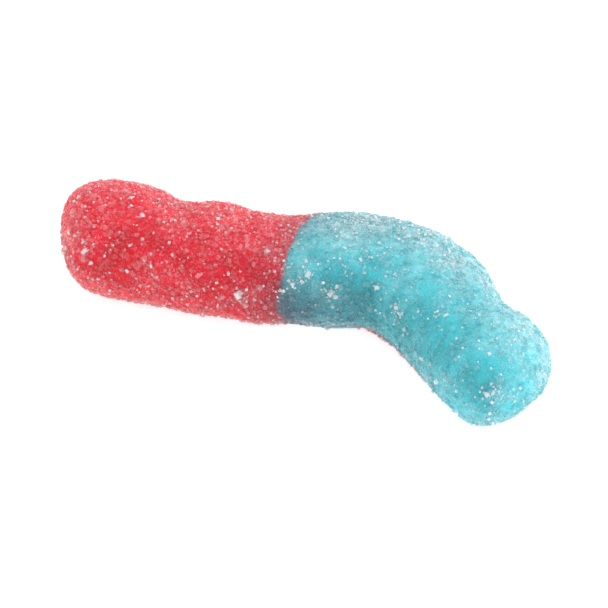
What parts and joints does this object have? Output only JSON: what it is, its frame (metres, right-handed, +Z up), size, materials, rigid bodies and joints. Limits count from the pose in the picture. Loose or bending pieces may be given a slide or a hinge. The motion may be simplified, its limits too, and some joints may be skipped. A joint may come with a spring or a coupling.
{
  "type": "gummy worm",
  "caption": "Short fat sugar-coated gummy worm in two colours, bent near its middle, lying on its flat moulded back.",
  "frame": {"origin": "under the middle of the part's box, on the surface that the worm lies on", "axes": "+X along the body from the red end to the turquoise end, -Y to the side that the turquoise end bends to, +Z up"},
  "size_m": [0.044, 0.0268, 0.0093],
  "materials": {
    "gummy": "soft translucent red and turquoise gummy under a matt sugar coat",
    "sugar": "clear to white sugar crystals with small glints"
  },
  "bodies": {
    "root": {"worm": "gummy"}
  },
  "joints": []
}
